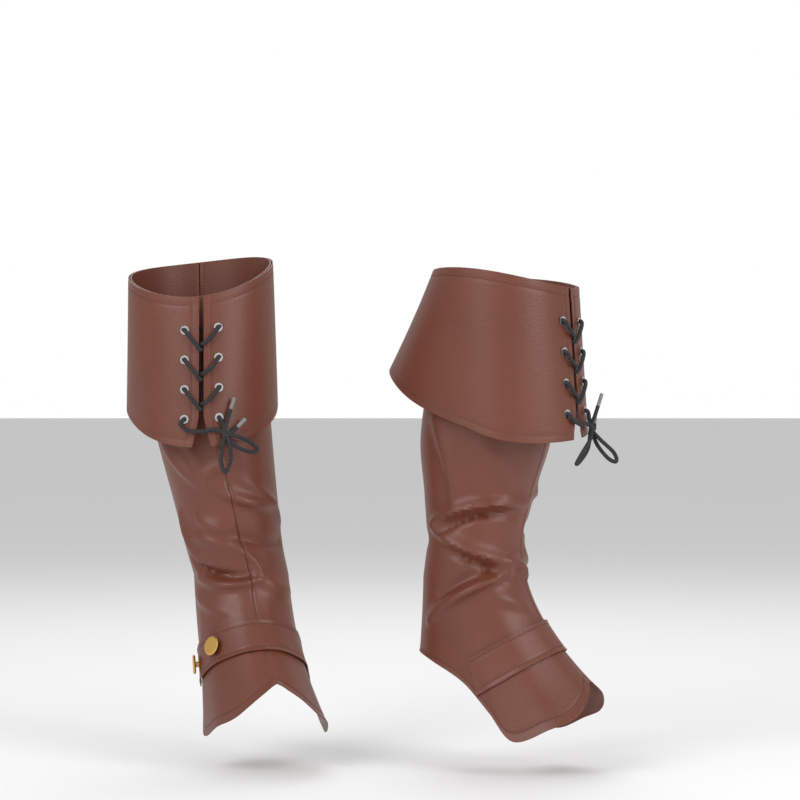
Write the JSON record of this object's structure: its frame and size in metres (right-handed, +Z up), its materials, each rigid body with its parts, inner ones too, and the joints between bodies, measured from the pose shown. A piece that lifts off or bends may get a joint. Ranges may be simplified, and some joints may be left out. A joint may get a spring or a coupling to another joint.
{
  "type": "pair of boot covers",
  "caption": "Pair of worn, hollow boot covers in brown faux leather: shaft with instep flap, turned-down laced cuff, and a buttoned ankle strap.",
  "frame": {"origin": "middle of the top opening of the right leg's cover, where the wearer's leg holds it", "axes": "+Z up, the wearer's right leg faces -Y, +X towards the left leg's cover"},
  "size_m": [0.4948, 0.2705, 0.4861],
  "materials": {
    "leather": "satin",
    "eyelets": "polished nickel",
    "buttons": "satin gold",
    "lace": "braided",
    "aglets": "gloss"
  },
  "bodies": {
    "root": {"left_aglet_1": "aglets", "left_aglet_2": "aglets", "left_button_1": "buttons", "left_button_2": "buttons", "left_cuff": "leather", "left_eyelet_inner_1": "eyelets", "left_eyelet_inner_2": "eyelets", "left_eyelet_inner_3": "eyelets", "left_eyelet_inner_4": "eyelets", "left_eyelet_outer_1": "eyelets", "left_eyelet_outer_2": "eyelets", "left_eyelet_outer_3": "eyelets", "left_eyelet_outer_4": "eyelets", "left_lace": "lace", "left_shaft_inner": "leather", "left_shaft_outer": "leather", "left_strap": "leather", "right_aglet_1": "aglets", "right_aglet_2": "aglets", "right_button_1": "buttons", "right_button_2": "buttons", "right_cuff": "leather", "right_eyelet_inner_1": "eyelets", "right_eyelet_inner_2": "eyelets", "right_eyelet_inner_3": "eyelets", "right_eyelet_inner_4": "eyelets", "right_eyelet_outer_1": "eyelets", "right_eyelet_outer_2": "eyelets", "right_eyelet_outer_3": "eyelets", "right_eyelet_outer_4": "eyelets", "right_lace": "lace", "right_shaft_inner": "leather", "right_shaft_outer": "leather", "right_strap": "leather"}
  },
  "joints": []
}
